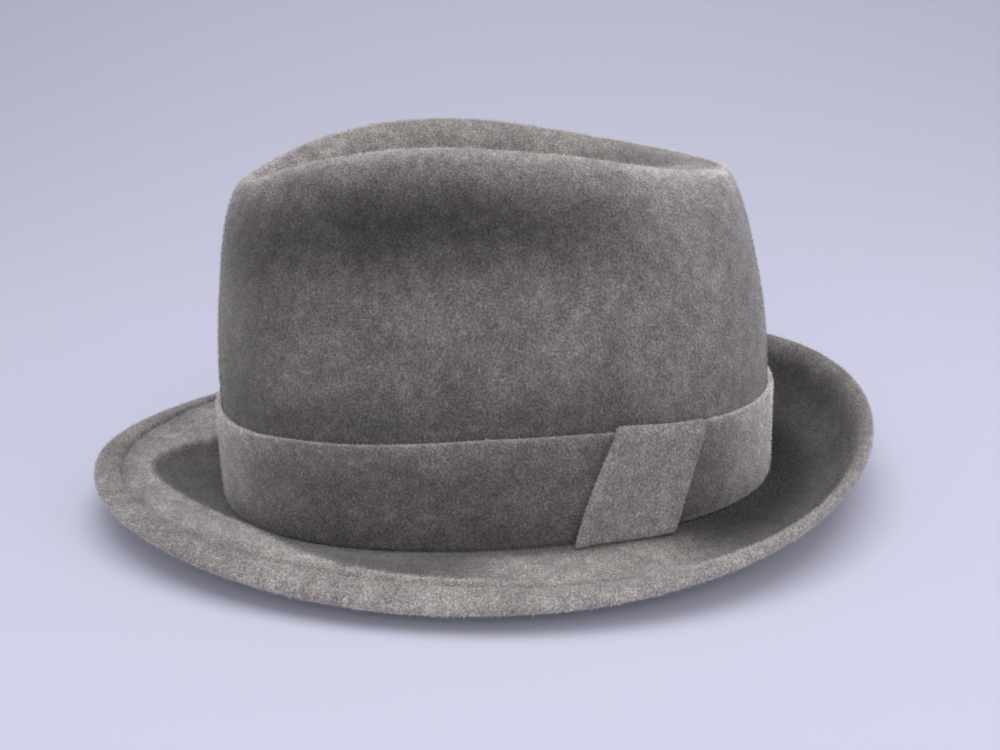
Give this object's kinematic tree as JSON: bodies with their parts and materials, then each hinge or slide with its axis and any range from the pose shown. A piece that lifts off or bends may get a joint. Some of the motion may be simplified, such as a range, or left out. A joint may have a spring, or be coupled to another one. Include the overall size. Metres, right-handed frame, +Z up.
{
  "type": "fedora hat",
  "caption": "Grey velour felt fedora with a teardrop-creased crown, a brim turned over at its edge and curled up behind, a felt band and a slanted keeper tab.",
  "frame": {"origin": "on the surface the hat stands on, under the middle of the brim", "axes": "+Z up through the crown, the front of the hat towards -Y, the wearer's left towards +X"},
  "size_m": [0.2478, 0.2861, 0.1288],
  "materials": {
    "felt": "grey velour fur felt with a soft mottled nap",
    "band_felt": "strip of the same grey velour felt",
    "tab_felt": "tab of the same grey velour felt",
    "thread": "grey spun sewing thread",
    "leather": "brown vegetable-tanned sheepskin sweatband, satin",
    "leather_strip": "thin brown leather strip",
    "reed": "natural plastic reed",
    "tape": "woven cotton tape",
    "ribbon": "dark grey grosgrain ribbon",
    "satin": "pale grey satin lining",
    "satin_tip": "pale grey satin lining",
    "piping": "satin piping cord",
    "film": "clear flexible film",
    "label": "blank off-white paper label"
  },
  "bodies": {
    "root": {"felt_body": "felt", "hat_band": "band_felt", "band_tab": "tab_felt", "band_tacks": "thread", "sweatband": "leather", "sweatband_reed": "reed", "sweatband_tape": "tape", "sweatband_bow": "ribbon", "sweatband_stitching": "thread", "sweatband_back_seam": "leather_strip", "lining_side": "satin", "lining_tip": "satin_tip", "lining_piping": "piping", "sweat_shield": "film", "size_label": "label"}
  },
  "joints": []
}
